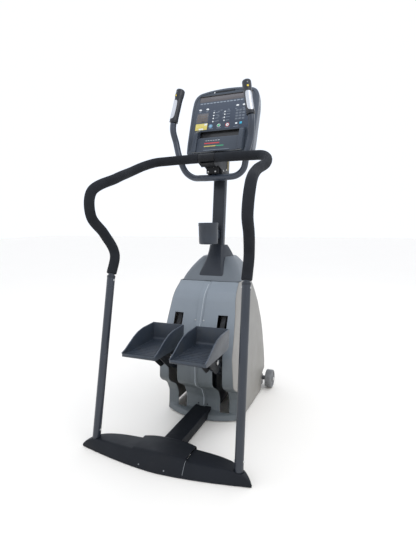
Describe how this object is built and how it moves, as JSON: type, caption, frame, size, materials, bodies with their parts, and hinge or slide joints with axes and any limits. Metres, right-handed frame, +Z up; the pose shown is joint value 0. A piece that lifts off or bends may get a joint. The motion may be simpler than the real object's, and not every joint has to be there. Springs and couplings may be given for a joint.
{
  "type": "stair climber",
  "caption": "Gym stair climber with independent sprung pedals, wraparound foam handrails, pulse grips, cup holder and a tilted console on a leaning column.",
  "frame": {"origin": "on the floor, under the middle of the machine's length and width", "axes": "+X to the user's right, +Y forwards from the user to the console, +Z up"},
  "size_m": [0.829, 1.12, 1.8044],
  "materials": {
    "frame_paint": "satin dark navy powder coat",
    "base_plastic": "satin navy-black moulding, scuffed",
    "grip_plastic": "satin dark moulding",
    "foam": "matte closed-cell foam sleeve",
    "shell_grey": "warm light grey moulding",
    "panel_grey": "blue-grey moulding",
    "pedal_plastic": "dark navy moulding, worn by shoes",
    "steel": "plain bright steel",
    "alloy": "cast and turned",
    "contact": "polished contact plate",
    "rubber": "plain black",
    "wheel_grey": "mid grey, dusty",
    "console_grey": "slate moulding",
    "face_blue": "slate blue printed overlay",
    "lens": "tinted display window",
    "belt": "ribbed black belt",
    "yellow": "yellow push button",
    "battery_grey": "plain case"
  },
  "bodies": {
    "frame": {"base_wing_cover_left": "base_plastic", "base_wing_cover_right": "base_plastic", "base_centre_cover": "base_plastic", "rear_crossmember": "frame_paint", "spine_tube": "frame_paint", "front_crossmember": "frame_paint", "front_foot_pad": "rubber", "wheel_axle": "steel", "handrail_foam_left": "foam", "handrail_foam_right": "foam", "handrail_tube": "steel", "post_left": "frame_paint", "post_right": "frame_paint", "handrail_clamp": "frame_paint", "column": "frame_paint", "head_bracket": "frame_paint", "pulse_handle": "frame_paint", "pulse_grip_left": "grip_plastic", "pulse_grip_right": "grip_plastic", "contact_plate_left": "contact", "contact_plate_right": "contact", "cup_holder": "base_plastic", "column_boot": "base_plastic", "rear_panel": "panel_grey", "side_shell_left": "shell_grey", "side_shell_right": "shell_grey", "top_cap": "shell_grey", "inner_frame": "frame_paint", "pivot_shaft": "steel", "battery": "battery_grey", "alternator_case": "alloy", "drive_belt": "belt", "drive_strap_left": "belt", "drive_strap_right": "belt", "return_spring_left": "steel", "return_spring_right": "steel", "console_face": "face_blue", "display_lens": "lens", "console_housing": "console_grey", "reading_rack": "console_grey"},
    "drive_train": {"drive_shaft": "steel"},
    "alternator": {"alternator_rotor": "steel"},
    "arm_left": {"pedal_arm_left": "frame_paint"},
    "pedal_left": {"pedal_left": "pedal_plastic", "pedal_bracket_left": "frame_paint", "pedal_pin_left": "steel"},
    "link_left": {"level_link_left": "frame_paint"},
    "drum_left": {"strap_drum_left": "alloy"},
    "wheel_left": {"transport_wheel_left": "wheel_grey"},
    "foot_left": {"leveling_foot_left": "rubber"},
    "button_left": {"thumb_button_left": "yellow"},
    "arm_right": {"pedal_arm_right": "frame_paint"},
    "pedal_right": {"pedal_right": "pedal_plastic", "pedal_bracket_right": "frame_paint", "pedal_pin_right": "steel"},
    "link_right": {"level_link_right": "frame_paint"},
    "drum_right": {"strap_drum_right": "alloy"},
    "wheel_right": {"transport_wheel_right": "wheel_grey"},
    "foot_right": {"leveling_foot_right": "rubber"},
    "button_right": {"thumb_button_right": "yellow"}
  },
  "joints": [
    {"name": "arm_left_swing", "type": "hinge", "parent": "frame", "child": "arm_left", "pos_m": [-0.124, 0.3, 0.127], "axis": [1, 0, 0], "range_deg": [0, 32], "stiffness_Nm_per_rad": 15, "springref_deg": -114.59, "deforming": ["drive_strap_left", "return_spring_left"]},
    {"name": "pedal_left_level", "type": "hinge", "parent": "arm_left", "child": "pedal_left", "pos_m": [-0.124, -0.19, 0.38], "axis": [1, 0, 0], "range_deg": [-32, 0]},
    {"name": "link_left_swing", "type": "hinge", "parent": "frame", "child": "link_left", "pos_m": [-0.124, 0.308, 0.087], "axis": [1, 0, 0], "range_deg": [0, 32]},
    {"name": "drum_left_spin", "type": "hinge", "parent": "frame", "child": "drum_left", "pos_m": [-0.11, 0.074, 0.61], "axis": [1, 0, 0], "range_deg": [0, 382]},
    {"name": "wheel_left_spin", "type": "hinge", "parent": "frame", "child": "wheel_left", "pos_m": [-0.25, 0.475, 0.058], "axis": [1, 0, 0], "continuous": true},
    {"name": "foot_left_turn", "type": "hinge", "parent": "frame", "child": "foot_left", "pos_m": [-0.32, -0.479, 0.01], "axis": [0, 0, 1], "continuous": true},
    {"name": "button_left_press", "type": "slide", "parent": "frame", "child": "button_left", "axis": [0.3981, 0.8932, -0.209], "range_m": [0, 0.0015], "stiffness_N_per_m": 1500, "springref_m": -0.001},
    {"name": "arm_right_swing", "type": "hinge", "parent": "frame", "child": "arm_right", "pos_m": [0.124, 0.3, 0.127], "axis": [1, 0, 0], "range_deg": [0, 32], "stiffness_Nm_per_rad": 15, "springref_deg": -114.59, "deforming": ["drive_strap_right", "return_spring_right"]},
    {"name": "pedal_right_level", "type": "hinge", "parent": "arm_right", "child": "pedal_right", "pos_m": [0.124, -0.19, 0.38], "axis": [1, 0, 0], "range_deg": [-32, 0]},
    {"name": "link_right_swing", "type": "hinge", "parent": "frame", "child": "link_right", "pos_m": [0.124, 0.308, 0.087], "axis": [1, 0, 0], "range_deg": [0, 32]},
    {"name": "drum_right_spin", "type": "hinge", "parent": "frame", "child": "drum_right", "pos_m": [0.11, 0.074, 0.61], "axis": [1, 0, 0], "range_deg": [0, 382]},
    {"name": "wheel_right_spin", "type": "hinge", "parent": "frame", "child": "wheel_right", "pos_m": [0.25, 0.475, 0.058], "axis": [1, 0, 0], "continuous": true},
    {"name": "foot_right_turn", "type": "hinge", "parent": "frame", "child": "foot_right", "pos_m": [0.32, -0.479, 0.01], "axis": [0, 0, 1], "continuous": true},
    {"name": "button_right_press", "type": "slide", "parent": "frame", "child": "button_right", "axis": [-0.3981, 0.8932, -0.209], "range_m": [0, 0.0015], "stiffness_N_per_m": 1500, "springref_m": -0.001},
    {"name": "drive_shaft_spin", "type": "hinge", "parent": "frame", "child": "drive_train", "pos_m": [0, 0.074, 0.61], "axis": [1, 0, 0], "continuous": true},
    {"name": "alternator_spin", "type": "hinge", "parent": "frame", "child": "alternator", "pos_m": [0, 0.29, 0.33], "axis": [1, 0, 0], "continuous": true}
  ],
  "couplings": [
    {"joint": "pedal_left_level", "follows": "arm_left_swing", "ratio": -1},
    {"joint": "link_left_swing", "follows": "arm_left_swing", "ratio": 1},
    {"joint": "drum_left_spin", "follows": "arm_left_swing", "ratio": 11.9},
    {"joint": "pedal_right_level", "follows": "arm_right_swing", "ratio": -1},
    {"joint": "link_right_swing", "follows": "arm_right_swing", "ratio": 1},
    {"joint": "drum_right_spin", "follows": "arm_right_swing", "ratio": 11.9},
    {"joint": "alternator_spin", "follows": "drive_shaft_spin", "ratio": 2.875}
  ]
}
